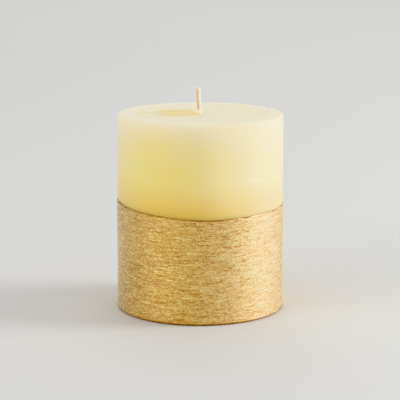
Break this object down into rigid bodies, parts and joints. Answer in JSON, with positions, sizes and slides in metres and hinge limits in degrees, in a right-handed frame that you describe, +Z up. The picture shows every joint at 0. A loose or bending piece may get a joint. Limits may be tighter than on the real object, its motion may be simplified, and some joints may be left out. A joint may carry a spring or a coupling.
{
  "type": "unity candle",
  "caption": "Round pillar candle for a wedding ceremony: ivory wax above a rough metallic gold lower part, with a short plaited cotton wick. Stands on its base.",
  "frame": {"origin": "centre of the base, on the plane that the candle stands on", "axes": "+Z up along the wick; +X to the right and +Y away from the viewer, seen from the front, where the yellow patch lies left of the wick"},
  "size_m": [0.0762, 0.0762, 0.1019],
  "materials": {
    "shell_wax": "satin",
    "core_wax": "satin",
    "pour_wax": "satin",
    "gold_paint": "satin",
    "wick_cotton": "matte",
    "tinplate": "satin",
    "label_paper": "matte"
  },
  "bodies": {
    "root": {"wax_shell": "shell_wax", "wax_core": "core_wax", "top_up_pour": "pour_wax", "gold_coat": "gold_paint", "wick_strand_1": "wick_cotton", "wick_strand_2": "wick_cotton", "wick_strand_3": "wick_cotton", "wick_sustainer": "tinplate", "base_label": "label_paper"}
  },
  "joints": []
}
